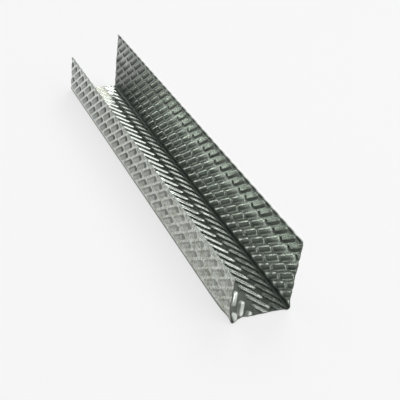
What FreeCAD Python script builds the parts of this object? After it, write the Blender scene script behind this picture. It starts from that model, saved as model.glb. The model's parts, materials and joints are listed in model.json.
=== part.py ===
"""Perimeter channel: a cut length of roll-formed galvanised steel strip, folded along two lines into
a trough with a flat web and two unequal flanges.

Millimetres, +Z up. The web lies on the XY plane with its outer face at Z = 0, the short flange
stands on -X and the long flange on +X, and the length runs along Y. The origin is the middle of
the web's outer face.
"""

import FreeCAD
import Part
import Sketcher

import os

NODE = "perimeter_channel"

# Driving dimensions: cell alias, value in millimetres, what it measures.
SIZES = [
    ("web_width", 27.0, "web, over the outside of both flanges"),
    ("short_flange", 20.0, "short flange, from the web's outer face to its free edge"),
    ("long_flange", 32.0, "long flange, from the web's outer face to its free edge"),
    ("sheet_thickness", 0.5, "strip, the same in the web, the bends and the flanges"),
    ("bend_radius", 1.0, "inside radius of both bends"),
    ("piece_length", 204.0, "between the two cut ends"),
]

# Sides of the section outline, in order round it from the short flange's free edge.
(
    SHORT_OUTSIDE,
    WEB_OUTSIDE,
    LONG_OUTSIDE,
    LONG_EDGE,
    LONG_INSIDE,
    WEB_INSIDE,
    SHORT_INSIDE,
    SHORT_EDGE,
) = range(8)

# A sketch's own numbers for the two ends of a line and for its two axes.
START, END = 1, 2
ACROSS_AXIS, UP_AXIS = -1, -2

# An edge within this distance of a corner of the section runs through it.
SNAP = 0.001


def make_sheet(doc):
    """The driving dimensions, one aliased cell each, with what they measure beside them."""
    sheet = doc.addObject("Spreadsheet::Sheet", "Sizes")
    for row, (alias, value, measures) in enumerate(SIZES, start=1):
        sheet.set(f"A{row}", alias)
        sheet.set(f"B{row}", str(value))
        sheet.set(f"C{row}", measures)
        sheet.setAlias(f"B{row}", alias)
    doc.recompute()
    return sheet


def origin_plane(body, role):
    """The body's own origin plane of that role."""
    return next(feature for feature in body.Origin.OriginFeatures if feature.Role == role)


def section_corners(sheet):
    """Corners (x, z) of the section before it is rounded, where each side of the outline starts."""
    half = sheet.web_width / 2
    wall = sheet.sheet_thickness
    return [
        (-half, sheet.short_flange),
        (-half, 0.0),
        (half, 0.0),
        (half, sheet.long_flange),
        (half - wall, sheet.long_flange),
        (half - wall, wall),
        (wall - half, wall),
        (wall - half, sheet.short_flange),
    ]


def bind(sketch, sheet, name, alias, kind, first, second):
    """A named dimension between two (side, end) points, driven by that cell."""
    value = getattr(sheet, alias)
    index = sketch.addConstraint(Sketcher.Constraint(kind, *first, *second, value))
    sketch.renameConstraint(index, name)
    sketch.setExpression(f"Constraints.{name}", f"{sheet.Name}.{alias}")


def draw_section(body, sheet):
    """The section as a closed outline of straight sides, one wall thick, standing on Z = 0."""
    sketch = body.newObject("Sketcher::SketchObject", "Section")
    sketch.AttachmentSupport = (origin_plane(body, "XZ_Plane"), "")
    sketch.MapMode = "FlatFace"

    corners = section_corners(sheet)
    following = corners[1:] + corners[:1]
    for start, end in zip(corners, following):
        sketch.addGeometry(Part.LineSegment(FreeCAD.Vector(*start), FreeCAD.Vector(*end)))

    for side in range(len(corners)):
        next_side = (side + 1) % len(corners)
        sketch.addConstraint(Sketcher.Constraint("Coincident", side, END, next_side, START))
    for side in (SHORT_OUTSIDE, LONG_OUTSIDE, LONG_INSIDE, SHORT_INSIDE):
        sketch.addConstraint(Sketcher.Constraint("Vertical", side))
    for side in (LONG_EDGE, WEB_INSIDE, SHORT_EDGE):
        sketch.addConstraint(Sketcher.Constraint("Horizontal", side))

    # The web is centred on the up axis and stands on the across axis.
    sketch.addConstraint(
        Sketcher.Constraint("Symmetric", WEB_OUTSIDE, START, WEB_OUTSIDE, END, UP_AXIS)
    )
    sketch.addConstraint(Sketcher.Constraint("PointOnObject", WEB_OUTSIDE, START, ACROSS_AXIS))

    across, up = "DistanceX", "DistanceY"
    dimensions = [
        ("web", "web_width", across, (WEB_OUTSIDE, START), (WEB_OUTSIDE, END)),
        ("short_leg", "short_flange", up, (SHORT_OUTSIDE, END), (SHORT_OUTSIDE, START)),
        ("long_leg", "long_flange", up, (LONG_OUTSIDE, START), (LONG_OUTSIDE, END)),
        ("short_wall", "sheet_thickness", across, (SHORT_EDGE, END), (SHORT_EDGE, START)),
        ("long_wall", "sheet_thickness", across, (LONG_EDGE, END), (LONG_EDGE, START)),
        ("web_wall", "sheet_thickness", up, (WEB_OUTSIDE, START), (WEB_INSIDE, END)),
    ]
    for name, alias, kind, first, second in dimensions:
        bind(sketch, sheet, name, alias, kind, first, second)
    return sketch


def run_out(body, sketch):
    """The section run out along the length, half of it to each side of the origin."""
    strip = body.newObject("PartDesign::Pad", "Strip")
    strip.Profile = sketch
    strip.SideType = "Symmetric"
    strip.setExpression("Length", "Sizes.piece_length")
    body.Document.recompute()
    return strip


def edges_through(feature, corners):
    """Names of the feature's lengthwise edges through those corners of the section."""
    names = []
    for number, edge in enumerate(feature.Shape.Edges, start=1):
        middle = edge.CenterOfMass
        for x, z in corners:
            if (middle - FreeCAD.Vector(x, 0.0, z)).Length < SNAP:
                names.append(f"Edge{number}")
    return names


def round_bends(body, name, base, corners, radius):
    """Both folds rounded on one face of the strip, to a radius given as an expression."""
    edges = edges_through(base, corners)
    if len(edges) != len(corners):
        raise RuntimeError(f"{name}: {len(edges)} edges found for {len(corners)} bends")
    bends = body.newObject("PartDesign::Fillet", name)
    bends.Base = (base, edges)
    bends.setExpression("Radius", radius)
    body.Document.recompute()
    return bends


def make_channel(doc, sheet):
    """The channel: one strip, with both faces of each fold rounded about the same centre."""
    body = doc.addObject("PartDesign::Body", "Channel")
    body.Label = NODE
    strip = run_out(body, draw_section(body, sheet))

    corners = section_corners(sheet)
    outer_corners = [corners[WEB_OUTSIDE], corners[LONG_OUTSIDE]]
    inner_corners = [corners[WEB_INSIDE], corners[SHORT_INSIDE]]
    inside = round_bends(body, "InsideBends", strip, inner_corners, "Sizes.bend_radius")
    outer_radius = "Sizes.bend_radius + Sizes.sheet_thickness"
    round_bends(body, "OutsideBends", inside, outer_corners, outer_radius)
    body.Placement = FreeCAD.Placement()
    return body


def check(doc, bodies):
    """Stops before anything is written if an object failed or a piece is not one valid solid."""
    doc.recompute()
    for thing in doc.Objects:
        if {"Invalid", "Error"} & set(thing.State):
            raise RuntimeError(f"{thing.Label} failed: {thing.State}")
    for body in bodies:
        shape = body.Shape
        if shape.isNull() or not shape.isValid() or len(shape.Solids) != 1:
            raise RuntimeError(f"{body.Label} is not one valid solid")


def main():
    doc = FreeCAD.newDocument(NODE)
    channel = make_channel(doc, make_sheet(doc))
    check(doc, [channel])
    os.makedirs("parts", exist_ok=True)
    channel.Shape.exportStep(f"parts/{channel.Label}.step")
    box = channel.Shape.BoundBox
    print(f"{channel.Label}: {box.XLength:.2f} x {box.YLength:.2f} x {box.ZLength:.2f} mm,")
    print(f"{channel.Shape.Volume:.1f} mm3 in {len(channel.Shape.Faces)} faces")


main()
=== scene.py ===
# %% [markdown]
# # Perimeter channel, embossed and folded
#
# The real piece is a short length of the channel that carries the edge of a suspended ceiling along
# a wall. It is made from one flat strip of galvanised steel in three steps: a pair of patterned rolls
# presses rows of slanted bars into it, a line of folding rolls turns up both sides, and shears cut it
# to length. This lesson takes the same steps, but it cuts first, because a blank of the right length
# is easier to press and fold than an endless strip.
#
# The first cell loads the imported CAD part and keeps its box.

# %% The CAD part, as the frame to build on
import json
import math

import bpy
import numpy as np
from mathutils import Matrix, Vector


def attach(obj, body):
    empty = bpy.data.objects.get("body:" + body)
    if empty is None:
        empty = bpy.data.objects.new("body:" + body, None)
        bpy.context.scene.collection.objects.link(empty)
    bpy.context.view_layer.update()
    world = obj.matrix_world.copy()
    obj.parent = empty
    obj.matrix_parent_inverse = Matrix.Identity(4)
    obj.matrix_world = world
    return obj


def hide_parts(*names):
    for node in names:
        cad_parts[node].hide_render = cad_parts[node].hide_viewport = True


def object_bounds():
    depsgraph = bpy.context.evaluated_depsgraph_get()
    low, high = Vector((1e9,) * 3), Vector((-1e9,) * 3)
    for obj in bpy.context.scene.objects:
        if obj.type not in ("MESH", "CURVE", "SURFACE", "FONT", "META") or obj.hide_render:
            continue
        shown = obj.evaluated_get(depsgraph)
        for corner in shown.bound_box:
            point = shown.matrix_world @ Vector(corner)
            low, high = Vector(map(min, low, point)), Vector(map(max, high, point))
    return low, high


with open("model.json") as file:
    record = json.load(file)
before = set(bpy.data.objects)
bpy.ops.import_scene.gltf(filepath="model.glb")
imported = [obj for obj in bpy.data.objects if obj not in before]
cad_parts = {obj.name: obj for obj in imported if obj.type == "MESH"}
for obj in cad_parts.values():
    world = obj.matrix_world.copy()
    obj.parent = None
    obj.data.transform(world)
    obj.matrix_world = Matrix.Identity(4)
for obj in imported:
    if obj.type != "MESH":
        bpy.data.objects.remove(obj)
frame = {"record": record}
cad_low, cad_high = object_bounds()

NODE = "perimeter_channel"
print("CAD box from", tuple(cad_low), "to", tuple(cad_high))

# %% [markdown]
# ## The sizes of the section
#
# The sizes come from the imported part, so the scene cannot drift away from it: the box gives the web,
# the long flange and the length, the seat inside the trough gives the thickness of the strip, and the
# trough itself ends at the short flange's free edge. Only the bend radius is written again here,
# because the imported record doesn't hold it.

# %% Sizes of the section, in metres
MM = 0.001
UP = 2
QUARTER_TURN = math.pi / 2

record = frame["record"]
seat = next(mount for mount in record["mounts"] if mount["name"] == "section_seat")
trough = record["physics"]["openings"][0]

web_width = cad_high.x - cad_low.x
piece_length = cad_high.y - cad_low.y
long_flange = cad_high.z - cad_low.z
short_flange = max(corner[UP] for corner in trough["box_m"])
sheet_thickness = seat["pos_m"][UP]
bend_radius = 1.0 * MM

# Half of the web is flat up to the bend, and the bend takes up a quarter of a circle of strip,
# measured in the middle of its thickness.
outer_radius = bend_radius + sheet_thickness
flat_half = web_width / 2 - outer_radius
bend_strip = (bend_radius + sheet_thickness / 2) * QUARTER_TURN
short_reach = flat_half + bend_strip + short_flange - outer_radius
long_reach = flat_half + bend_strip + long_flange - outer_radius
print(f"strip {(short_reach + long_reach) / MM:.2f} mm wide before it is folded")

# %% [markdown]
# ## The pattern on the embossing rolls
#
# The bars lie in rows along the strip, with a narrow smooth lane between two rows. Every bar slants,
# and the slant is mirrored about the middle of the web, so that the strip runs straight through the
# rolls. The same pattern could be a bump in the material, but then the outline and the exported mesh
# would stay flat, so the bars are pressed into the mesh itself.

# %% Sizes of a bar
# The web's bars are smooth waves. The flanges' bars have flat backs and steeper walls. Beside the
# folds, the strip is smooth for a little way, and the bars fade out there.
bars = {
    "web": {
        "width": 3.0 * MM, "depth": 0.31 * MM, "wall": 1.5 * MM, "rounding": 1.2 * MM,
        "lane": 1.2 * MM, "smooth": 0.7 * MM, "fade": 0.6 * MM,
    },
    "flange": {
        "width": 2.8 * MM, "depth": 0.24 * MM, "wall": 0.6 * MM, "rounding": 0.5 * MM,
        "lane": 0.5 * MM, "smooth": 1.9 * MM, "fade": 0.9 * MM,
    },
}
for zone, bar in bars.items():
    print(f"{zone} bars: {bar['width'] / MM} mm wide and {bar['depth'] / MM} mm deep")

# %% Sizes of the rows
# For each side, the web's and the flange's rows: how far the bars are turned from the strip's length,
# how far from the web's middle the first row starts, how wide a row is, how far apart the bars are
# along it, where along the strip a first bar stands, and by how much each row is shifted against the
# one before. The strip is stretched a little in folding, so the pitch differs slightly from wall to wall.
short_rows = {
    "web": {
        "slant": 33.0, "start": 2.3 * MM, "row": 6.6 * MM,
        "pitch": 6.1 * MM, "first bar": 1.9 * MM, "shift": 1.8 * MM,
    },
    "flange": {
        "slant": 38.0, "start": 14.6 * MM, "row": 7.75 * MM,
        "pitch": 6.22 * MM, "first bar": 0.0, "shift": 0.24 * MM,
    },
}
long_rows = {
    "web": {
        "slant": 31.5, "start": -1.1 * MM, "row": 7.2 * MM,
        "pitch": 6.02 * MM, "first bar": 0.95 * MM, "shift": 1.6 * MM,
    },
    "flange": {
        "slant": 39.0, "start": 13.5 * MM, "row": 7.43 * MM,
        "pitch": 6.0 * MM, "first bar": 3.95 * MM, "shift": 0.68 * MM,
    },
}
sides = {"Short": short_rows, "Long": long_rows}

for name, rows in sides.items():
    for zone in rows:
        turned_by = math.radians(rows[zone]["slant"])
        rows[zone]["slope"] = 1 / math.tan(turned_by)
        apart = rows[zone]["pitch"] * math.sin(turned_by)
        print(f"{name} {zone}: bars {apart / MM:.2f} mm apart, measured square across them")

# %% [markdown]
# ## The blank
#
# A plain grid would cut every slanted bar into a staircase. The blank's grid lines therefore run along
# the bars: each line leaves the middle of the web and slants outwards on both sides like an arrow
# head. A line that runs past an end of the strip is stopped there, and its points fall together into
# one, so both ends are cut with no loose points.
#
# Snips leave the two folds a little longer than the web between them, and a slightly ragged edge, so
# the near end stops at its own distance at each place across the strip.

# %% Where the grid's points lie across the strip
POINTS_PER_BEND = 5
LANE_STEPS = np.array([0.35, 0.8, 1.4, 2.3]) * MM
CLEARANCE = 0.12 * MM
fold_middle = flat_half + bend_strip / 2


def points_across(reach, rows):
    """Distances from the middle of the web: close together beside the lanes, where the bars end."""
    wanted = [reach]
    for zone, low, high in (("web", 0.0, fold_middle), ("flange", fold_middle, reach)):
        start = rows[zone]["start"]
        row = rows[zone]["row"]
        first = math.floor((low - start) / row)
        last = math.ceil((high - start) / row)
        for number in range(first, last + 1):
            lane = start + number * row
            places = np.concatenate([lane - LANE_STEPS, [lane], lane + LANE_STEPS, [lane + row / 2]])
            wanted.extend(places[(places >= low) & (places < high)])
    in_bend = np.linspace(flat_half, flat_half + bend_strip, POINTS_PER_BEND)
    wanted = np.array(wanted)
    clear = np.abs(wanted[:, None] - in_bend[None, :]).min(axis=1) > CLEARANCE
    clear &= (wanted < reach - CLEARANCE) | (wanted == reach)
    return np.unique(np.concatenate([[0.0], wanted[clear], in_bend]))


short_points = points_across(short_reach, short_rows)
long_points = points_across(long_reach, long_rows)
across_points = np.concatenate([-short_points[:0:-1], long_points])
print(f"{len(across_points)} points across the strip")

# %% Where the strip ends at the near end
burr_length = 0.9 * MM
burr_reach = 2.2 * MM
short_burr_length = 1.6 * MM
short_burr_reach = 3.4 * MM
ragged_depth = 0.12 * MM
ragged_step = 1.7 * MM
ragged_finer = 2.3
ragged_offset = 1.0


def near_end(across):
    """How far the strip reaches at that place across it: longer at the folds, and a little ragged."""
    from_fold = np.abs(np.abs(across) - fold_middle)
    longest = np.where(across < 0, short_burr_length, burr_length)
    widest = np.where(across < 0, short_burr_reach, burr_reach)
    burr = longest * np.exp(-((from_fold / widest) ** 2))
    swing = across / ragged_step
    ragged = ragged_depth * np.sin(swing) * np.sin(ragged_finer * swing + ragged_offset)
    return piece_length + burr + ragged


longest_burr = near_end(across_points).max() - piece_length
print(f"the strip is up to {longest_burr / MM:.2f} mm longer at a fold")

# %% The blank as a flat mesh
LINES_PER_BAR = 11


def slid_along(across):
    """How far along the strip a line that follows the bars has come, at that place across it."""
    rows = short_rows if across < 0 else long_rows
    on_web = min(abs(across), fold_middle)
    on_flange = abs(across) - on_web
    return on_web * rows["web"]["slope"] + on_flange * rows["flange"]["slope"]


def cut_blank():
    """A flat strip whose lines follow the bars, with X across it and Y along it."""
    step = long_rows["web"]["pitch"] / LINES_PER_BAR
    first_line = -math.ceil(slid_along(long_reach) / step)
    last_line = math.ceil((piece_length + short_burr_length) / step) + 1
    line_starts = np.arange(first_line, last_line + 1) * step

    points = []
    numbers = []
    for across in across_points:
        along = np.clip(line_starts + slid_along(across), 0.0, near_end(across))
        distances, places = np.unique(along, return_inverse=True)
        numbers.append(places + len(points))
        points.extend((across, piece_length / 2 - distance, 0.0) for distance in distances)

    faces = []
    for column, next_column in zip(numbers[:-1], numbers[1:]):
        for a, b, c, d in zip(column[:-1], column[1:], next_column[1:], next_column[:-1]):
            corners = list(dict.fromkeys((int(a), int(b), int(c), int(d))))
            if len(corners) > 2:
                faces.append(corners)

    mesh = bpy.data.meshes.new("channel_blank")
    mesh.from_pydata(points, [], faces)
    mesh.update()
    return mesh


blank = cut_blank()
print(f"blank: {len(blank.vertices)} points, {len(blank.polygons)} faces")

# %% [markdown]
# ## One helper for every node
#
# Node trees could be drawn by hand and kept in a file, but here they are built in the script, so that
# every size stays a named value. One small function adds a node, sets it up and joins it to what came
# before. Inputs are given in the order in which Blender shows them, or by name, and None leaves an
# input as it is.

# %% The helper, and an empty tree to use it on
MATH = "ShaderNodeMath"
VECTOR_MATH = "ShaderNodeVectorMath"
MAP_RANGE = "ShaderNodeMapRange"
COMBINE = "ShaderNodeCombineXYZ"
SEPARATE = "ShaderNodeSeparateXYZ"
SMOOTHLY = {"interpolation_type": "SMOOTHSTEP"}


def add_node(tree, kind, *inputs, by_name=None, **settings):
    """A new node: settings on the node itself, then inputs as values, sockets or other nodes."""
    node = tree.nodes.new(kind)
    for name, value in settings.items():
        setattr(node, name, value)
    shown = [socket for socket in node.inputs if socket.enabled]
    pairs = list(zip(shown, inputs))
    pairs += [(node.inputs[name], value) for name, value in (by_name or {}).items()]
    for socket, value in pairs:
        if isinstance(value, bpy.types.Node):
            tree.links.new(next(out for out in value.outputs if out.enabled), socket)
        elif isinstance(value, bpy.types.NodeSocket):
            tree.links.new(value, socket)
        elif value is not None:
            socket.default_value = value
    return node


rolls = bpy.data.node_groups.new("embossing_and_folding_rolls", "GeometryNodeTree")
print("empty tree:", rolls.name)

# %% [markdown]
# ## The rolls as a Geometry Nodes tree
#
# Python could move every point of the blank itself. A Geometry Nodes tree does the same work in
# Blender's own fast code, and its sizes can still be changed in the modifier's panel. The tree has one
# named input for each size. It is filled in four stages: how deep each point is pressed, where folding
# takes it, a few knocks from handling, and the thickness of the sheet.

# %% The tree's named inputs
depth_spread = 0.12
sizes = {
    "Strip length": piece_length,
    "Flat half of web": flat_half,
    "Strip in bend": bend_strip,
    "Outer bend radius": outer_radius,
    "Sheet thickness": sheet_thickness,
    "Depth spread": depth_spread,
}
ROW_WORDS = ("slope", "start", "row", "pitch", "first bar", "shift")
for zone, bar in bars.items():
    for word, size in bar.items():
        sizes[f"{zone} bar {word}"] = size
    for name, rows in sides.items():
        for word in ROW_WORDS:
            sizes[f"{name} {zone} {word}"] = rows[zone][word]

rolls.interface.new_socket("Blank", in_out="INPUT", socket_type="NodeSocketGeometry")
rolls.interface.new_socket("Channel", in_out="OUTPUT", socket_type="NodeSocketGeometry")
for name in sizes:
    rolls.interface.new_socket(name, in_out="INPUT", socket_type="NodeSocketFloat")
rolls.interface.new_socket("Metal", in_out="INPUT", socket_type="NodeSocketMaterial")
given = add_node(rolls, "NodeGroupInput").outputs
print(f"the rolls have {len(sizes)} named sizes")

# %% [markdown]
# ### Stage one: how deep the rolls press
#
# Seen flat, each bar is a slim rectangle with rounded corners. For every point of the strip the tree
# finds the nearest bar, measures how far the point is along it and square across it, and turns that
# into a distance from the bar's outline. The depth follows from that distance. Each bar gets its own
# number, so its depth can differ a little from its neighbours', as on worn rolls.

# %% Stage one: the sizes that hold at a point
SWITCH = "GeometryNodeSwitch"
COMPARE = "FunctionNodeCompare"
HALF = 0.5
BAR_WORDS = ("width", "wall", "rounding", "lane", "smooth", "fade")

place = add_node(rolls, SEPARATE, add_node(rolls, "GeometryNodeInputPosition")).outputs
across = place["X"]
along = place["Y"]
from_middle = add_node(rolls, MATH, across, operation="ABSOLUTE")
half_bend = add_node(rolls, MATH, given["Strip in bend"], HALF, operation="MULTIPLY")
fold_line = add_node(rolls, MATH, half_bend, given["Flat half of web"], operation="ADD")
on_short = add_node(rolls, COMPARE, across, 0.0, data_type="FLOAT", operation="LESS_THAN")
on_flange = add_node(rolls, COMPARE, from_middle, fold_line, data_type="FLOAT", operation="GREATER_THAN")

row_values = []
for word in ROW_WORDS:
    by_zone = []
    for zone in bars:
        by_side = given[f"Long {zone} {word}"], given[f"Short {zone} {word}"]
        by_zone.append(add_node(rolls, SWITCH, on_short, *by_side, input_type="FLOAT"))
    row_values.append(add_node(rolls, SWITCH, on_flange, *by_zone, input_type="FLOAT"))
slope, row_start, row_pitch, bar_pitch, first_bar, row_shift = row_values

bar_values = []
for word in BAR_WORDS:
    by_zone = [given[f"{zone} bar {word}"] for zone in bars]
    bar_values.append(add_node(rolls, SWITCH, on_flange, *by_zone, input_type="FLOAT"))
bar_width, bar_wall, rounding, lane_width, smooth_strip, smooth_fade = bar_values
print(f"stage one: {len(row_values) + len(bar_values)} sizes are switched from wall to wall")

# %% Stage one: the row and the bar that a point belongs to
# The row's number, and how far the point is from the row's middle.
past_start = add_node(rolls, MATH, from_middle, row_start, operation="SUBTRACT")
rows_out = add_node(rolls, MATH, past_start, row_pitch, operation="DIVIDE")
row_number = add_node(rolls, MATH, rows_out, operation="FLOOR")
in_row = add_node(rolls, MATH, rows_out, row_number, operation="SUBTRACT")
in_row = add_node(rolls, MATH, in_row, HALF, operation="SUBTRACT")
from_row = add_node(rolls, MATH, in_row, row_pitch, operation="MULTIPLY")

# Where a line along the bars through this point meets the web's middle, or the fold for a flange.
half_length = add_node(rolls, MATH, given["Strip length"], HALF, operation="MULTIPLY")
from_far_end = add_node(rolls, MATH, half_length, along, operation="SUBTRACT")
zone_start = add_node(rolls, SWITCH, on_flange, 0.0, fold_line, input_type="FLOAT")
into_zone = add_node(rolls, MATH, from_middle, zone_start, operation="SUBTRACT")
slid = add_node(rolls, MATH, into_zone, slope, operation="MULTIPLY")
crossing = add_node(rolls, MATH, from_far_end, slid, operation="SUBTRACT")

# The bar's number in its row, and how far the point is from that bar's own line.
row_origin = add_node(rolls, MATH, row_number, row_shift, first_bar, operation="MULTIPLY_ADD")
past_origin = add_node(rolls, MATH, crossing, row_origin, operation="SUBTRACT")
bars_out = add_node(rolls, MATH, past_origin, bar_pitch, operation="DIVIDE")
bar_number = add_node(rolls, MATH, bars_out, operation="ROUND")
in_pitch = add_node(rolls, MATH, bars_out, bar_number, operation="SUBTRACT")
from_bar = add_node(rolls, MATH, in_pitch, bar_pitch, operation="MULTIPLY")
print(f"stage one: {len(rolls.nodes)} nodes find the row and the bar")

# %% Stage one: distance from the bar's outline
slant = add_node(rolls, MATH, 1.0, slope, operation="ARCTAN2")
sine = add_node(rolls, MATH, slant, operation="SINE")
cosine = add_node(rolls, MATH, slant, operation="COSINE")
across_bar = add_node(rolls, MATH, from_bar, sine, operation="MULTIPLY")
row_part = add_node(rolls, MATH, from_row, sine, operation="DIVIDE")
along_bar = add_node(rolls, MATH, from_bar, cosine, row_part, operation="MULTIPLY_ADD")

half_width = add_node(rolls, MATH, bar_width, HALF, operation="MULTIPLY")
bar_reach = add_node(rolls, MATH, row_pitch, lane_width, operation="SUBTRACT")
bar_length = add_node(rolls, MATH, bar_reach, sine, operation="DIVIDE")
half_bar = add_node(rolls, MATH, bar_length, HALF, operation="MULTIPLY")

# A rectangle with rounded corners is a smaller one, with a rim of the corners' radius all round it.
overs = []
for off, half in ((across_bar, half_width), (along_bar, half_bar)):
    off_by = add_node(rolls, MATH, off, operation="ABSOLUTE")
    past_half = add_node(rolls, MATH, off_by, half, operation="SUBTRACT")
    overs.append(add_node(rolls, MATH, past_half, rounding, operation="ADD"))
corner = add_node(rolls, COMBINE, *overs, 0.0)
corner = add_node(rolls, VECTOR_MATH, corner, (0.0, 0.0, 0.0), operation="MAXIMUM")
outside_part = add_node(rolls, VECTOR_MATH, corner, operation="LENGTH").outputs["Value"]
further_over = add_node(rolls, MATH, *overs, operation="MAXIMUM")
inside_part = add_node(rolls, MATH, further_over, 0.0, operation="MINIMUM")
outline = add_node(rolls, MATH, outside_part, inside_part, operation="ADD")
outline = add_node(rolls, MATH, outline, rounding, operation="SUBTRACT")
print(f"stage one: {len(rolls.nodes)} nodes measure the distance from a bar's outline")

# %% Stage one: the depth pressed there
SEED = 7
BEFORE_FIRST_ROW = -0.5
MOST_BARS_IN_A_ROW = 1000.0

# From its rim, a flange's bar falls away steeply and then rounds off into its back. A web's bar is a
# smooth wave.
wall_foot = add_node(rolls, MATH, bar_wall, -1.0, operation="MULTIPLY")
down_wall = add_node(rolls, MAP_RANGE, outline, 0.0, wall_foot, 0.0, 1.0)
flattening = add_node(rolls, MATH, 2.0, down_wall, operation="SUBTRACT")
steep = add_node(rolls, MATH, down_wall, flattening, operation="MULTIPLY")
wave = add_node(rolls, MAP_RANGE, outline, 0.0, wall_foot, 0.0, 1.0, **SMOOTHLY)
groove = add_node(rolls, SWITCH, on_flange, wave, steep, input_type="FLOAT")

# The first row starts at its own distance from the middle, and the strip before it stays smooth.
in_a_row = add_node(rolls, MATH, row_number, BEFORE_FIRST_ROW, operation="GREATER_THAN")
groove = add_node(rolls, MATH, groove, in_a_row, operation="MULTIPLY")

# The folding rolls press the strip flat at each fold, out to the bars' full depth.
from_fold = add_node(rolls, MATH, from_middle, fold_line, operation="SUBTRACT")
from_fold = add_node(rolls, MATH, from_fold, operation="ABSOLUTE")
ironed_end = add_node(rolls, MATH, smooth_strip, smooth_fade, operation="ADD")
unironed = add_node(rolls, MAP_RANGE, from_fold, smooth_strip, ironed_end, 0.0, 1.0, **SMOOTHLY)
pressed = add_node(rolls, MATH, groove, unironed, operation="MULTIPLY")

bar_id = add_node(rolls, MATH, row_number, MOST_BARS_IN_A_ROW, bar_number, operation="MULTIPLY_ADD")
shallow = add_node(rolls, MATH, 1.0, given["Depth spread"], operation="SUBTRACT")
own_depth = add_node(rolls, "FunctionNodeRandomValue", shallow, 1.0, bar_id, SEED, data_type="FLOAT")
own_pressed = add_node(rolls, MATH, pressed, own_depth, operation="MULTIPLY")

web_depth = given["web bar depth"]
flange_depth = given["flange bar depth"]
flat_end = add_node(rolls, MATH, given["Flat half of web"], given["Strip in bend"], operation="ADD")
bend = given["Flat half of web"], flat_end
full_depth = add_node(rolls, MAP_RANGE, from_middle, *bend, web_depth, flange_depth)
left_in = add_node(rolls, MATH, unironed, own_pressed, operation="SUBTRACT")
height = add_node(rolls, MATH, left_in, full_depth, operation="MULTIPLY")
print(f"stage one: {len(rolls.nodes)} nodes in all")

# %% [markdown]
# ### Stage two: folding
#
# Folding keeps every point's distance along the strip. Across it, a point of the web stays where it
# is, a point in the bend travels round a quarter of a circle, and a point of a flange climbs straight
# up. One angle says it all: nothing on the web, a right angle on the flange. The pressed height is
# added towards the inside of the trough, so the outside keeps the size of the CAD part.

# %% Stage two: the outer face of the sheet, folded and pressed
angle = add_node(rolls, MAP_RANGE, from_middle, *bend, 0.0, QUARTER_TURN)
angle_sine = add_node(rolls, MATH, angle, operation="SINE")
angle_cosine = add_node(rolls, MATH, angle, operation="COSINE")
handed = add_node(rolls, MATH, across, operation="SIGN")

bend_outside = given["Outer bend radius"]
flat_out = add_node(rolls, MATH, from_middle, given["Flat half of web"], operation="MINIMUM")
far_out = add_node(rolls, MATH, bend_outside, angle_sine, flat_out, operation="MULTIPLY_ADD")
climb = add_node(rolls, MATH, from_middle, flat_end, operation="SUBTRACT")
climb = add_node(rolls, MATH, climb, 0.0, operation="MAXIMUM")
round_up = add_node(rolls, MATH, 1.0, angle_cosine, operation="SUBTRACT")
rise = add_node(rolls, MATH, round_up, bend_outside, climb, operation="MULTIPLY_ADD")

sideways = add_node(rolls, MATH, far_out, handed, operation="MULTIPLY")
folded_place = add_node(rolls, COMBINE, sideways, along, rise)
turned = add_node(rolls, MATH, angle_sine, handed, operation="MULTIPLY")
turned = add_node(rolls, MATH, turned, -1.0, operation="MULTIPLY")
inward = add_node(rolls, COMBINE, turned, 0.0, angle_cosine)
pushed = add_node(rolls, VECTOR_MATH, inward, by_name={"Scale": height}, operation="SCALE")
pressed_place = add_node(rolls, VECTOR_MATH, folded_place, pushed, operation="ADD")
print(f"stage two: {len(rolls.nodes)} nodes fold the strip")

# %% Stage two: what later stages and the finish need, noted on the mesh
# The place on the flat strip, the share of the full depth, the place within the bar, and the way to
# the inside of the trough.
STORE = "GeometryNodeStoreNamedAttribute"
bar_side = add_node(rolls, MATH, across_bar, half_width, operation="DIVIDE")
bar_side = add_node(rolls, MATH, bar_side, -1.0, operation="MULTIPLY")
bar_end = add_node(rolls, MATH, along_bar, half_bar, operation="DIVIDE")
notes = {
    "strip_place": ("FLOAT_VECTOR", add_node(rolls, COMBINE, across, from_far_end, 0.0)),
    "pressed": ("FLOAT", pressed),
    "bar_place": ("FLOAT_VECTOR", add_node(rolls, COMBINE, bar_side, bar_end, 0.0)),
    "inward": ("FLOAT_VECTOR", inward),
}
noted = given["Blank"]
for name, (kind, value) in notes.items():
    noted = add_node(rolls, STORE, noted, None, name, value, data_type=kind, domain="POINT")
folded = add_node(rolls, "GeometryNodeSetPosition", noted, None, pressed_place)
print("stage two: noted on the mesh:", ", ".join(notes))

# %% [markdown]
# ### Stage three: knocks
#
# The near end has been handled: the corner beside the short flange is crushed in. It could be
# sculpted, but a few pushes are easier to change. Each knock is one push at one place, which fades out
# smoothly with distance.

# %% Stage three: pushes that fade with distance
near = cad_low.y
left = cad_low.x
knocks = [
    {"at": (left + 4 * MM, near + 3 * MM, 0.0), "reach": 9 * MM, "push": (0.0, 0.0, 0.7 * MM)},
    {"at": (left + 1 * MM, near + 1 * MM, 1 * MM), "reach": 6 * MM, "push": (0.7 * MM, -0.3 * MM, 0.0)},
    {"at": (left, near + 9 * MM, 6 * MM), "reach": 9 * MM, "push": (0.35 * MM, 0.0, 0.0)},
]
knocked = folded
for knock in knocks:
    here = add_node(rolls, "GeometryNodeInputPosition")
    away = add_node(rolls, VECTOR_MATH, here, knock["at"], operation="DISTANCE").outputs["Value"]
    fade = add_node(rolls, MAP_RANGE, away, knock["reach"], 0.0, 0.0, 1.0, **SMOOTHLY)
    shove = add_node(rolls, VECTOR_MATH, knock["push"], by_name={"Scale": fade}, operation="SCALE")
    knocked = add_node(rolls, "GeometryNodeSetPosition", knocked, None, None, shove)
print(f"stage three: {len(knocks)} knocks")

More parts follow.
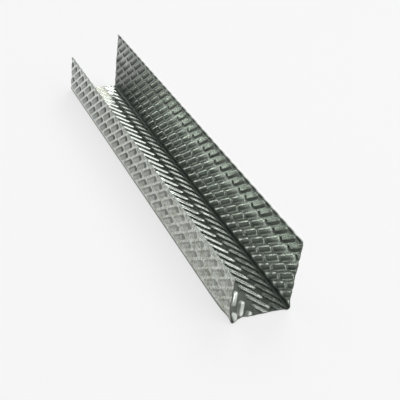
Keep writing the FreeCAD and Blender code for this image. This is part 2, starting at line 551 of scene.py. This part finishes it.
# %% [markdown]
# ### Stage four: thickness, edges and metal
#
# The sheet so far is its outer face. A Solidify modifier could thicken it, but here the cut edges have
# to be marked, because bare steel shows there. Extruding the face towards the inside gives the inner
# face and the cut edges under their own names, and a flipped copy closes the outside. The two share
# their rim, which is welded.

# %% Stage four: a closed sheet, with its edges marked
WELD = 0.001 * MM
NAMED = "GeometryNodeInputNamedAttribute"
on_faces = {"data_type": "BOOLEAN", "domain": "FACE"}

to_inside = add_node(rolls, NAMED, "inward", data_type="FLOAT_VECTOR")
by_thickness = to_inside, given["Sheet thickness"]
thick = add_node(rolls, "GeometryNodeExtrudeMesh", knocked, None, *by_thickness, False, mode="FACES")
marked = add_node(rolls, STORE, thick, None, "cut_edge", thick.outputs["Side"], **on_faces)
marked = add_node(rolls, STORE, marked, None, "inner_face", thick.outputs["Top"], **on_faces)
outer_face = add_node(rolls, "GeometryNodeFlipFaces", knocked)
both_faces = add_node(rolls, "GeometryNodeJoinGeometry", marked)
rolls.links.new(outer_face.outputs[0], both_faces.inputs[0])
welded = add_node(rolls, "GeometryNodeMergeByDistance", both_faces, None, WELD)
print(f"stage four: {len(rolls.nodes)} nodes close the sheet")

# %% Stage four: smooth faces, sharp corners and the metal
SHARP_ANGLE = math.radians(72.0)
SHADE = "GeometryNodeSetShadeSmooth"

at_cut = add_node(rolls, NAMED, "cut_edge", data_type="BOOLEAN")
rolled_here = add_node(rolls, "FunctionNodeBooleanMath", at_cut, operation="NOT")
shaded = add_node(rolls, SHADE, welded, None, rolled_here, domain="FACE")
bent_by = add_node(rolls, "GeometryNodeInputMeshEdgeAngle").outputs["Unsigned Angle"]
at_corner = add_node(rolls, COMPARE, bent_by, SHARP_ANGLE, data_type="FLOAT", operation="GREATER_THAN")
shaded = add_node(rolls, SHADE, shaded, at_corner, False, domain="EDGE")
real = add_node(rolls, "GeometryNodeRealizeInstances", shaded)
coated = add_node(rolls, "GeometryNodeSetMaterial", real, None, given["Metal"])
add_node(rolls, "NodeGroupOutput", coated)
print(f"stage four: {len(rolls.nodes)} nodes in the whole tree")

# %% [markdown]
# ## Hot-dip galvanised steel
#
# Steel strip dipped in molten zinc comes out with a thin bright skin of zinc crystals, the spangle.
# Zinc is a metal, so the eye sees little colour of its own and mostly what it reflects: the base colour
# tints the reflections, and the roughness blurs them. Handling dulls the outside to a greenish grey, and
# the darker grey on the bars' ledges, in the folds and inside the trough is painted shade. A picture of
# zinc could be laid over the mesh, but a finish made of nodes has no seams, and it follows the bars,
# because it reads what the rolls noted on the mesh.

# %% Colours, from sRGB hex to the linear values that Blender works in
# The sRGB standard's own numbers: a straight line for the darkest shades, then a power curve.
FULL_BYTE = 255
LINE_TOP = 0.04045
LINE_SLOPE = 12.92
CURVE_OFFSET = 0.055
CURVE_POWER = 2.4


def linear(hex_colour):
    """Linear RGBA of a colour such as #C0C0C0."""
    channels = []
    for start in (1, 3, 5):
        shade = int(hex_colour[start:start + 2], 16) / FULL_BYTE
        if shade <= LINE_TOP:
            channels.append(shade / LINE_SLOPE)
        else:
            channels.append(((shade + CURVE_OFFSET) / (1 + CURVE_OFFSET)) ** CURVE_POWER)
    return (*channels, 1.0)


print(f"the mid grey #808080 is {linear('#808080')[0]:.3f} in linear light")

# %% The zinc skin: spangle, and an outside that hands have dulled
# The crystals are flat and about 3 mm wide, each of a slightly different grey.
MIX = "ShaderNodeMix"
ATTRIBUTE = "ShaderNodeAttribute"
SPANGLE = 3.0 * MM
HANDLED = 0.2
crystal_greys = linear("#CFD5CE"), linear("#D9DED8")
handled_grey = linear("#A2A79E")

zinc = bpy.data.materials.new("galvanised_steel_hot_dipped_and_embossed")
zinc.use_nodes = True
tree = zinc.node_tree
shader = tree.nodes["Principled BSDF"]
shader.inputs["Metallic"].default_value = 1.0

strip = add_node(tree, ATTRIBUTE, attribute_name="strip_place").outputs["Vector"]
cells = {"Vector": strip, "Scale": 1 / SPANGLE}
spangle = add_node(tree, "ShaderNodeTexVoronoi", by_name=cells, feature="F1")
crystal = add_node(tree, "ShaderNodeSeparateColor", spangle.outputs["Color"]).outputs
colour = add_node(tree, MIX, crystal["Red"], *crystal_greys, data_type="RGBA")

inside_here = add_node(tree, ATTRIBUTE, attribute_name="inner_face").outputs["Fac"]
outside_here = add_node(tree, MATH, 1.0, inside_here, operation="SUBTRACT")
handled = add_node(tree, MATH, outside_here, HANDLED, operation="MULTIPLY")
colour = add_node(tree, MIX, handled, colour, handled_grey, data_type="RGBA")
print("finish:", zinc.name)

# %% [markdown]
# ### Stains and grit
#
# White rust and oil leave dull patches a few millimetres wide, a little darker and yellower than the
# zinc, and grit sticks to the sheet in dark specks. Both are on the outside and heavier towards the
# near end, which hands have held. They could be painted spot by spot, but noise at a scale in real
# millimetres gives as many as are wanted. Real grit is finer than a pixel of the picture, so its specks
# are drawn about 1 mm wide, as coarse as they need to be to show.

# %% Stains and grit
# Each ramp below is a pair of places, or of noise levels, and the pair of shares reached there.
NOISE = "ShaderNodeTexNoise"
STAIN = 4.0 * MM
STAIN_DETAIL = 5.0
STAIN_ROUGHNESS = 0.7
STAIN_LEVELS = (0.42, 0.66)
STAIN_ALONG = (30 * MM, 130 * MM)
STAIN_SHARES = (0.25, 0.75)
SPECK = 1.0 * MM
SPECK_DETAIL = 2.0
SPECK_LEVELS = (0.5, 0.75)
SPECK_ALONG = (50 * MM, 140 * MM)
SPECK_SHARES = (0.25, 0.9)
stain_colour = linear("#8F9078")
grit_colour = linear("#55574C")

strip_parts = add_node(tree, SEPARATE, strip).outputs
strip_across = strip_parts["X"]
from_far = strip_parts["Y"]

blotches = {"Vector": strip, "Scale": 1 / STAIN, "Detail": STAIN_DETAIL, "Roughness": STAIN_ROUGHNESS}
patches = add_node(tree, NOISE, by_name=blotches).outputs["Fac"]
most_stain = add_node(tree, MAP_RANGE, from_far, *STAIN_ALONG, *STAIN_SHARES)
stained = add_node(tree, MAP_RANGE, patches, *STAIN_LEVELS, 0.0, most_stain)
stained = add_node(tree, MATH, stained, outside_here, operation="MULTIPLY")
colour = add_node(tree, MIX, stained, colour, stain_colour, data_type="RGBA")

dots = {"Vector": strip, "Scale": 1 / SPECK, "Detail": SPECK_DETAIL}
specks = add_node(tree, NOISE, by_name=dots).outputs["Fac"]
most_grit = add_node(tree, MAP_RANGE, from_far, *SPECK_ALONG, *SPECK_SHARES)
gritty = add_node(tree, MAP_RANGE, specks, *SPECK_LEVELS, 0.0, most_grit)
gritty = add_node(tree, MATH, gritty, outside_here, operation="MULTIPLY")
colour = add_node(tree, MIX, gritty, colour, grit_colour, data_type="RGBA")
print(f"stains {STAIN / MM:.0f} mm and specks {SPECK / MM:.0f} mm wide")

# %% [markdown]
# ### Painted shade on the bars' ledges and in the folds
#
# Each bar on a flange makes a small ledge where one of its long sides and one of its ends face up, and
# the ledge is painted with shade, which also makes it duller. The bars' backs get less of it. Shade could
# be found from the shape with an ambient occlusion node, but these dents are too shallow for that, so the
# finish reads the place within the bar. Seen from its other side, a bar is turned round, so its other
# side and end face up.

# %% Where a bar has its ledge
# On the outside a thin line and a broad head get painted shade, on the inside half of the bar and a thin
# end.
# Starts and tail shares give the outside's value first and the inside's second. Places within a bar
# run from -1 to 1, from one side or end of it to the other.
BAR_RIM = (0.05, 0.3)
SIDE_STARTS = (0.2, -0.15)
SIDE_FADE = 0.35
END_STARTS = (0.44, 0.7)
END_FADE = 0.17
TAIL_SHARES = (0.7, 0.9)
HEAD_RISE = (-0.9, 0.7)

from_web_middle = add_node(tree, MATH, strip_across, operation="ABSOLUTE")
on_walls = add_node(tree, MATH, from_web_middle, flat_half + bend_strip, operation="GREATER_THAN")
on_long = add_node(tree, MATH, strip_across, 0.0, operation="GREATER_THAN")
pressed_here = add_node(tree, ATTRIBUTE, attribute_name="pressed").outputs["Fac"]
in_bar = add_node(tree, MAP_RANGE, pressed_here, *BAR_RIM, 0.0, 1.0, **SMOOTHLY)
in_bar = add_node(tree, MATH, in_bar, on_walls, operation="MULTIPLY")

bar_place = add_node(tree, ATTRIBUTE, attribute_name="bar_place").outputs["Vector"]
face_sign = add_node(tree, MIX, inside_here, 1.0, -1.0, data_type="FLOAT")
upward = add_node(tree, VECTOR_MATH, bar_place, by_name={"Scale": face_sign}, operation="SCALE")
upward = add_node(tree, SEPARATE, upward).outputs
side_start = add_node(tree, MIX, inside_here, *SIDE_STARTS, data_type="FLOAT")
side_full = add_node(tree, MATH, side_start, SIDE_FADE, operation="ADD")
on_side = add_node(tree, MAP_RANGE, upward["X"], side_start, side_full, 0.0, 1.0, **SMOOTHLY)
end_start = add_node(tree, MIX, inside_here, *END_STARTS, data_type="FLOAT")
end_full = add_node(tree, MATH, end_start, END_FADE, operation="ADD")
on_end = add_node(tree, MAP_RANGE, upward["Y"], end_start, end_full, 0.0, 1.0, **SMOOTHLY)
on_ledge = add_node(tree, MATH, on_side, on_end, operation="MAXIMUM")
tail = add_node(tree, MIX, inside_here, *TAIL_SHARES, data_type="FLOAT")
to_head = add_node(tree, MAP_RANGE, upward["Y"], *HEAD_RISE, tail, 1.0)
print(f"grime: {len(tree.nodes)} nodes find a bar's ledge")

# %% How much painted shade lies on the ledges and the backs
# Both have more of it towards the far end, and inside the long flange also towards its free edge.
OUTER_BACK_ALONG = (60 * MM, 150 * MM)
OUTER_BACK_SHARES = (0.7, 0.3)
INNER_BACK_ALONG = (20 * MM, 60 * MM)
INNER_BACK_SHARES = (0.5, 0.0)
OUTER_LEDGE_ALONG = (90 * MM, 170 * MM)
OUTER_LEDGE_SHARES = (0.95, 0.55)
INNER_LEDGE_ALONG = (30 * MM, 80 * MM)
INNER_LEDGE_SHARES = (0.97, 0.4)
FREE_EDGE_UP = (33 * MM, 37 * MM)
FREE_EDGE_ALONG = (20 * MM, 120 * MM)
FREE_EDGE_SHARES = (0.95, 0.9)

outer_back = add_node(tree, MAP_RANGE, from_far, *OUTER_BACK_ALONG, *OUTER_BACK_SHARES)
inner_back = add_node(tree, MAP_RANGE, from_far, *INNER_BACK_ALONG, *INNER_BACK_SHARES)
outer_ledge = add_node(tree, MAP_RANGE, from_far, *OUTER_LEDGE_ALONG, *OUTER_LEDGE_SHARES)
by_far_end = add_node(tree, MAP_RANGE, from_far, *INNER_LEDGE_ALONG, *INNER_LEDGE_SHARES)
most_by_edge = add_node(tree, MAP_RANGE, from_far, *FREE_EDGE_ALONG, *FREE_EDGE_SHARES)
by_free_edge = add_node(tree, MAP_RANGE, from_web_middle, *FREE_EDGE_UP, 0.0, most_by_edge)
inner_ledge = add_node(tree, MATH, by_far_end, by_free_edge, operation="MAXIMUM")

# Painted shade: the bars' ledges and backs are darkened as the shade of the relief, and made duller.
back_shade = add_node(tree, MIX, inside_here, outer_back, inner_back, data_type="FLOAT")
ledge_shade = add_node(tree, MIX, inside_here, outer_ledge, inner_ledge, data_type="FLOAT")
shade_share = add_node(tree, MIX, on_ledge, back_shade, ledge_shade, data_type="FLOAT")
painted_shade = add_node(tree, MATH, shade_share, in_bar, operation="MULTIPLY")
painted_shade = add_node(tree, MATH, painted_shade, to_head, operation="MULTIPLY")
walls_with_shade = add_node(tree, MATH, outside_here, on_long, operation="MAXIMUM")
painted_shade = add_node(tree, MATH, painted_shade, walls_with_shade, operation="MULTIPLY")
print(f"grime: up to {max(INNER_LEDGE_SHARES):.0%} on the ledges inside")

# %% Painted shade along the folds
# The inside corner of each fold is painted dark as the shade in the crease, and the outside of each bend
# as the shade where it curves down to the floor.
INNER_FOLD = (0.5 * MM, 2.0 * MM)
INNER_FOLD_SHARES = (0.75, 0.0)
OUTER_FOLD = (0.9 * MM, 1.9 * MM)
OUTER_FOLD_SHARES = (0.8, 0.0)
# The dark grey of the painted shade on the bars' ledges and in the folds.
ledge_and_fold_shade_colour = linear("#2C322C")

from_crease = add_node(tree, MATH, from_web_middle, fold_middle, operation="SUBTRACT")
from_crease = add_node(tree, MATH, from_crease, operation="ABSOLUTE")
crease_shade = add_node(tree, MAP_RANGE, from_crease, *INNER_FOLD, *INNER_FOLD_SHARES, **SMOOTHLY)
crease_shade = add_node(tree, MATH, crease_shade, inside_here, operation="MULTIPLY")
painted_shade = add_node(tree, MATH, painted_shade, crease_shade, operation="MAXIMUM")
bend_shade = add_node(tree, MAP_RANGE, from_crease, *OUTER_FOLD, *OUTER_FOLD_SHARES, **SMOOTHLY)
bend_shade = add_node(tree, MATH, bend_shade, outside_here, operation="MULTIPLY")
painted_shade = add_node(tree, MATH, painted_shade, bend_shade, operation="MAXIMUM")
# Mixes the painted shade of the ledges and folds into the zinc.
colour = add_node(tree, MIX, painted_shade, colour, ledge_and_fold_shade_colour, data_type="RGBA")
print(f"folds: dirt within {max(INNER_FOLD) / MM} mm of the crease")

# %% [markdown]
# ### Painted shade inside the trough, and dust
#
# The inside of the long flange is painted darker and duller, as shade, and the shade fades out towards
# the flange's top row. It comes back along the free edge, and near the far end it covers every row. On
# the web it lies in the lanes. The bars' rims are left out of it, except down by the fold. The zinc is
# simply made darker and duller there, which looks the same from this distance and exports well.

# %% Painted shade inside the long flange
# Distances up the flange are measured along the strip, from the web's middle. Over the last 30 mm
# before the far end the painted shade is lighter.
TROUGH_SHADE_ROWS_UP = (19 * MM, 23 * MM)
TROUGH_SHADE_ROWS_SHARES = (0.9, 0.86)
TROUGH_SHADE_TOP_UP = (31 * MM, 38.5 * MM)
TROUGH_SHADE_EDGE_UP = (40.8 * MM, 43.2 * MM)
TROUGH_SHADE_EDGE_SHARES = (0.0, 0.75)
TROUGH_SHADE_PAST_ALONG = (15 * MM, 30 * MM)
TROUGH_SHADE_PAST_SHARES = (0.52, 0.84)
TROUGH_SHADE_FAR_ALONG = (55 * MM, 95 * MM)

trough_shade_rows = add_node(tree, MAP_RANGE, from_web_middle, *TROUGH_SHADE_ROWS_UP, *TROUGH_SHADE_ROWS_SHARES)
trough_shade_up = add_node(tree, MAP_RANGE, from_web_middle, *TROUGH_SHADE_TOP_UP, trough_shade_rows, 0.0)
trough_shade_edge = add_node(tree, MAP_RANGE, from_web_middle, *TROUGH_SHADE_EDGE_UP, *TROUGH_SHADE_EDGE_SHARES)
trough_shade_past = add_node(tree, MAP_RANGE, from_far, *TROUGH_SHADE_PAST_ALONG, *TROUGH_SHADE_PAST_SHARES)
trough_shade_far = add_node(tree, MAP_RANGE, from_far, *TROUGH_SHADE_FAR_ALONG, trough_shade_past, 0.0, **SMOOTHLY)
trough_shade = add_node(tree, MATH, trough_shade_up, trough_shade_edge, operation="MAXIMUM")
trough_shade = add_node(tree, MATH, trough_shade, trough_shade_far, operation="MAXIMUM")
on_long_wall = add_node(tree, MATH, on_long, on_walls, operation="MULTIPLY")
trough_shade = add_node(tree, MATH, trough_shade, on_long_wall, operation="MULTIPLY")
print(f"film: over every row for {min(TROUGH_SHADE_FAR_ALONG) / MM:.0f} mm from the far end")

# %% Painted shade in the web's lanes, off the rims and by the fold
LANE_DEPTHS = (0.05, 0.25)
LANE_SHARES = (0.75, 0.0)
LANE_ALONG = (10 * MM, 50 * MM)
LANE_ALONG_SHARES = (0.9, 1.0)
RIM_RISE = (0.03, 0.25)
RIM_FALL = (0.6, 0.95)
RIM_SHADE_GAP = 0.95
TROUGH_SHADE_LOW_UP = (14.5 * MM, 20 * MM)
TROUGH_SHADE_LOW_SHARES = (0.85, 0.0)
# The dark grey of the painted shade inside the trough, and of the dirt rubbed into the scuffed corner.
trough_shade_and_scuff_dirt_colour = linear("#353B35")

on_web = add_node(tree, MATH, 1.0, on_walls, operation="SUBTRACT")
lane_shade = add_node(tree, MAP_RANGE, pressed_here, *LANE_DEPTHS, *LANE_SHARES, **SMOOTHLY)
lane_shade = add_node(tree, MATH, lane_shade, on_web, operation="MULTIPLY")
lane_near = add_node(tree, MAP_RANGE, from_far, *LANE_ALONG, *LANE_ALONG_SHARES)
lane_shade = add_node(tree, MATH, lane_shade, lane_near, operation="MULTIPLY")
trough_shade = add_node(tree, MATH, trough_shade, lane_shade, operation="MAXIMUM")

# The rims are left out of the painted shade, so their own highlights show.
rim_rising = add_node(tree, MAP_RANGE, pressed_here, *RIM_RISE, 0.0, 1.0)
rim_falling = add_node(tree, MAP_RANGE, pressed_here, *RIM_FALL, 1.0, 0.0)
rim = add_node(tree, MATH, rim_rising, rim_falling, operation="MULTIPLY")
shade_off_rims = add_node(tree, MATH, rim, -RIM_SHADE_GAP, 1.0, operation="MULTIPLY_ADD")
trough_shade = add_node(tree, MATH, trough_shade, shade_off_rims, operation="MULTIPLY")

# Painted shade low on the long flange, beside the fold.
low_wall_shade = add_node(tree, MAP_RANGE, from_web_middle, *TROUGH_SHADE_LOW_UP, *TROUGH_SHADE_LOW_SHARES)
low_wall_shade = add_node(tree, MATH, low_wall_shade, on_long_wall, operation="MULTIPLY")
trough_shade = add_node(tree, MATH, trough_shade, low_wall_shade, operation="MAXIMUM")
trough_shade = add_node(tree, MATH, trough_shade, inside_here, operation="MULTIPLY")
colour = add_node(tree, MIX, trough_shade, colour, trough_shade_and_scuff_dirt_colour, data_type="RGBA")
print(f"film: {max(LANE_SHARES):.0%} in the lanes, rims rubbed {RIM_SHADE_GAP:.0%} clean")

# %% Dust at the open far end
# Dry dust has blown in over the web there, up to the row beside the long flange.
DUST_ALONG = (6 * MM, 34 * MM)
DUST_SHARES = (0.6, 0.0)
DUST_EDGE = (5.5 * MM, 6.5 * MM)
dust_colour = linear("#A2A695")

dust = add_node(tree, MAP_RANGE, from_far, *DUST_ALONG, *DUST_SHARES, **SMOOTHLY)
open_rows = add_node(tree, MAP_RANGE, strip_across, *DUST_EDGE, 1.0, 0.0)
dust = add_node(tree, MATH, dust, open_rows, operation="MULTIPLY")
dust = add_node(tree, MATH, dust, on_web, operation="MULTIPLY")
dust = add_node(tree, MATH, dust, inside_here, operation="MULTIPLY")
colour = add_node(tree, MIX, dust, colour, dust_colour, data_type="RGBA")
print(f"dust: {max(DUST_ALONG) / MM:.0f} mm in from the far end")

# %% [markdown]
# ### Scuffed corner and cut edges
#
# Where the near corner was crushed, it is scuffed matt and dirt is rubbed into it. The shears left
# bare steel along every edge, which the zinc doesn't cover, so it is darker and duller. Both could be
# materials of their own, but a share of one more colour keeps the sheet a single finish, as it is on
# the real piece.

# %% Scuffed corner and cut edges
SCUFF_REACH = 25 * MM
SCUFF_DIRT = 0.2
bare_steel = linear("#646A64")
crushed_corner = (-fold_middle, piece_length, 0.0)

from_corner = add_node(tree, VECTOR_MATH, strip, crushed_corner, operation="DISTANCE").outputs["Value"]
scuffed = add_node(tree, MAP_RANGE, from_corner, 0.0, SCUFF_REACH, 1.0, 0.0, **SMOOTHLY)
scuffed = add_node(tree, MATH, scuffed, inside_here, operation="MULTIPLY")
scuff_dirt = add_node(tree, MATH, scuffed, SCUFF_DIRT, operation="MULTIPLY")
colour = add_node(tree, MIX, scuff_dirt, colour, trough_shade_and_scuff_dirt_colour, data_type="RGBA")

edge_here = add_node(tree, ATTRIBUTE, attribute_name="cut_edge").outputs["Fac"]
colour = add_node(tree, MIX, edge_here, colour, bare_steel, data_type="RGBA")
mixed = next(out for out in colour.outputs if out.enabled)
tree.links.new(mixed, shader.inputs["Base Color"])
print(f"colour: {len(tree.nodes)} nodes from crystals to cut edges")

# %% [markdown]
# ### Sheen and ripple
#
# Fresh zinc is glossy, and each crystal a little differently so. The painted shade, the dust and the
# scuffs blur the reflections, each by its own amount. The sheet isn't quite flat either: the rolls leave
# a faint ripple, stronger high up on the long flange. It is far too shallow for the mesh, so it is a
# bump.

# %% Sheen: the skin's own roughness, and what the painted shade and each kind of wear add
CRYSTAL_ROUGHNESS = (0.08, 0.14)
sheen = add_node(tree, MAP_RANGE, crystal["Green"], 0.0, 1.0, *CRYSTAL_ROUGHNESS)
dulled = add_node(tree, MATH, painted_shade, edge_here, operation="MAXIMUM")
flange_rims = add_node(tree, MATH, rim, on_walls, operation="MULTIPLY")
added_roughness = [(dulled, 0.3), (trough_shade, 0.25), (dust, 0.2), (flange_rims, 0.04), (scuffed, 0.4)]
for wear, most_added in added_roughness:
    sheen = add_node(tree, MATH, wear, most_added, sheen, operation="MULTIPLY_ADD")
tree.links.new(sheen.outputs[0], shader.inputs["Roughness"])
print(f"sheen: {len(added_roughness)} kinds of wear blur the zinc")

# %% Ripple
RIPPLE = 2.2 * MM
RIPPLE_DETAIL = 3.0
RIPPLE_HEIGHT = 0.015 * MM
RIPPLE_UP = (28 * MM, 32 * MM)
RIPPLE_SHARES = (1.0, 3.0)

waves = {"Vector": strip, "Scale": 1 / RIPPLE, "Detail": RIPPLE_DETAIL}
ripple = add_node(tree, NOISE, by_name=waves).outputs["Fac"]
rippled = add_node(tree, MAP_RANGE, from_web_middle, *RIPPLE_UP, *RIPPLE_SHARES)
ripple = add_node(tree, MATH, ripple, rippled, operation="MULTIPLY")
relief = {"Height": ripple, "Strength": 1.0, "Distance": RIPPLE_HEIGHT}
bump = add_node(tree, "ShaderNodeBump", by_name=relief)
tree.links.new(bump.outputs[0], shader.inputs["Normal"])
print(f"ripple: waves of {RIPPLE / MM} mm, {len(tree.nodes)} nodes in the whole finish")

# %% [markdown]
# ## Running the strip through the rolls
#
# The modifier's inputs are set by their identifiers before Blender evaluates anything. The evaluated
# result then becomes a plain mesh, the modifier goes, and the piece stands for the CAD node. The
# modifier could stay live, but a plain mesh exports as it is and can't change by accident.

# %% The strip in the rolls
press = bpy.data.objects.new("rolling", blank)
bpy.context.scene.collection.objects.link(press)
line = press.modifiers.new("Rolls", "NODES")
line.node_group = rolls
for item in rolls.interface.items_tree:
    if item.name in sizes:
        line[item.identifier] = sizes[item.name]
    elif item.name == "Metal":
        line[item.identifier] = zinc

evaluated = press.evaluated_get(bpy.context.evaluated_depsgraph_get())
channel_mesh = bpy.data.meshes.new_from_object(evaluated)
channel_mesh.name = "embossed_channel"
press.modifiers.remove(line)
bpy.data.objects.remove(press)
channel_mesh.calc_loop_triangles()
print(f"channel: {len(channel_mesh.vertices)} points, {len(channel_mesh.loop_triangles)} triangles")

# %% The finished channel, in the place of the CAD node
channel = bpy.data.objects.new("embossed_channel", channel_mesh)
bpy.context.scene.collection.objects.link(channel)
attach(channel, "root")
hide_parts(NODE)
print(f"{channel.name} stands for {NODE}")

# %% [markdown]
# ## Floor
#
# The piece lies on matt white paper, which scatters light evenly, so the eye sees one pale tone with a
# soft shadow and no gloss. More lamps would make it whiter, but they would also burn out the metal.
# Instead, part of the paper glows by itself, for the camera and for reflections only, and the rest of
# it takes the shadow. The sheet is so large that its edge lies at the horizon.

# %% The floor
FLOOR_HALF = 60.0
FLOOR_DROP = 0.05 * MM
PAPER_ROUGHNESS = 0.9
PAPER_SPECULAR = 0.1
FLOOR_GLOW = 0.77
paper_white = linear("#F7F7F7")

floor_points = [
    (-FLOOR_HALF, -FLOOR_HALF, -FLOOR_DROP),
    (FLOOR_HALF, -FLOOR_HALF, -FLOOR_DROP),
    (FLOOR_HALF, FLOOR_HALF, -FLOOR_DROP),
    (-FLOOR_HALF, FLOOR_HALF, -FLOOR_DROP),
]
floor_mesh = bpy.data.meshes.new("floor")
floor_mesh.from_pydata(floor_points, [], [tuple(range(len(floor_points)))])
floor = bpy.data.objects.new("floor", floor_mesh)
bpy.context.scene.collection.objects.link(floor)

paper = bpy.data.materials.new("pale_paper_matt")
paper.use_nodes = True
paper_tree = paper.node_tree
paper_shader = paper_tree.nodes["Principled BSDF"]
paper_shader.inputs["Base Color"].default_value = paper_white
paper_shader.inputs["Roughness"].default_value = PAPER_ROUGHNESS
paper_shader.inputs["Specular IOR Level"].default_value = PAPER_SPECULAR

rays = add_node(paper_tree, "ShaderNodeLightPath").outputs
seen = add_node(paper_tree, MATH, rays["Is Camera Ray"], rays["Is Glossy Ray"], operation="MAXIMUM")
seen = add_node(paper_tree, MATH, seen, rays["Is Transmission Ray"], operation="MAXIMUM")
glowing = add_node(paper_tree, MATH, seen, FLOOR_GLOW, operation="MULTIPLY")
glow = add_node(paper_tree, "ShaderNodeEmission", paper_white, 1.0)
paper_look = add_node(paper_tree, "ShaderNodeMixShader", glowing, paper_shader, glow)
paper_tree.links.new(paper_look.outputs[0], paper_tree.nodes["Material Output"].inputs["Surface"])
floor_mesh.materials.append(paper)
print(f"floor: {2 * FLOOR_HALF:.0f} m wide, {FLOOR_GLOW:.0%} of it glows")

# %% [markdown]
# ## Light
#
# Bare metal shows its lamps, so their places decide which flank of a bar lights up. One sky of even
# light would make the bars vanish. A dim grey world therefore holds a ring of soft boxes. Most of them
# stand beyond the far end, where the web and the flanges mirror them towards the camera, and two stand
# on the near side and light the paper.

# %% The world and the soft boxes
WORLD_LEVEL = 0.1
world = bpy.data.worlds.new("dim_studio")
world.use_nodes = True
sky = world.node_tree.nodes["Background"]
sky.inputs["Color"].default_value = (WORLD_LEVEL, WORLD_LEVEL, WORLD_LEVEL, 1.0)
bpy.context.scene.world = world


def softbox(name, bearing, lift, distance, width, height, brightness):
    """A soft lamp that faces the object, with a brightness at which 1 looks white."""
    lamp = bpy.data.lights.new(name, "AREA")
    lamp.shape = "RECTANGLE"
    lamp.size = width
    lamp.size_y = height
    lamp.energy = brightness * math.pi * width * height
    turn = math.radians(bearing)
    climb = math.radians(lift)
    way = Vector((math.sin(turn) * math.cos(climb), math.cos(turn) * math.cos(climb), math.sin(climb)))
    holder = bpy.data.objects.new(name, lamp)
    holder.location = way * distance
    holder.rotation_euler = way.to_track_quat("Z", "Y").to_euler()
    bpy.context.scene.collection.objects.link(holder)


# Name, bearing from the far end towards the long flange and height above the floor in degrees,
# distance, width and height of the box in metres, brightness.
lamps = [
    ("softbox_overhead", -4.5, 49.5, 2.7, 1.55, 0.46, 1.35),
    ("softbox_far", 0.0, 38.5, 2.7, 1.1, 0.5, 2.1),
    ("softbox_high", 12.0, 60.0, 2.7, 1.0, 0.18, 1.7),
    ("softbox_left", -30.0, 48.0, 2.7, 0.9, 0.7, 4.4),
    ("softbox_behind", 39.5, 37.0, 3.0, 1.6, 1.38, 6.2),
    ("softbox_low", -15.0, 6.0, 3.6, 6.6, 0.72, 3.6),
    ("softbox_horizon", 28.0, 13.5, 3.0, 1.1, 0.7, 1.7),
    ("softbox_low_left", -60.0, 31.0, 1.0, 0.5, 0.28, 1.0),
    ("softbox_front", 140.0, 48.0, 1.1, 1.0, 1.0, 1.6),
    ("softbox_top", 150.0, 80.0, 1.0, 0.7, 0.7, 1.15),
]
for lamp_sizes in lamps:
    softbox(*lamp_sizes)
print(f"{len(lamps)} soft boxes")

# %% [markdown]
# ## Camera
#
# The camera looks along the trough from above the near end, with a slight roll. Its place was fitted to
# the eight end corners of the channel. The focal length is counted in pixels of a picture that is 400
# pixels wide, and turned into millimetres of the sensor.

# %% The camera
SENSOR = 36.0
FOCAL_PIXELS = 775.66
FRAME_PIXELS = 400
azimuth = math.radians(-28.74)
elevation = math.radians(32.378)
roll = math.radians(8.02)
view_right = -19.596 * MM
view_up = 10.227 * MM
view_distance = 372.477 * MM

level = math.cos(elevation)
backward = Vector((math.sin(azimuth) * level, -math.cos(azimuth) * level, math.sin(elevation)))
level_right = Vector((0.0, 0.0, 1.0)).cross(backward).normalized()
level_up = backward.cross(level_right)
right = math.cos(roll) * level_right + math.sin(roll) * level_up
up = math.cos(roll) * level_up - math.sin(roll) * level_right

camera_data = bpy.data.cameras.new("camera")
camera_data.sensor_width = SENSOR
camera_data.lens = SENSOR * FOCAL_PIXELS / FRAME_PIXELS
camera = bpy.data.objects.new("camera", camera_data)
camera.location = backward * view_distance - right * view_right - up * view_up
camera.rotation_euler = Matrix((right, up, backward)).transposed().to_euler()
bpy.context.scene.collection.objects.link(camera)
bpy.context.scene.camera = camera
bpy.context.scene.view_settings.view_transform = "Standard"
print(f"camera: {camera_data.lens:.1f} mm lens, {camera.location.length / MM:.0f} mm from the origin")
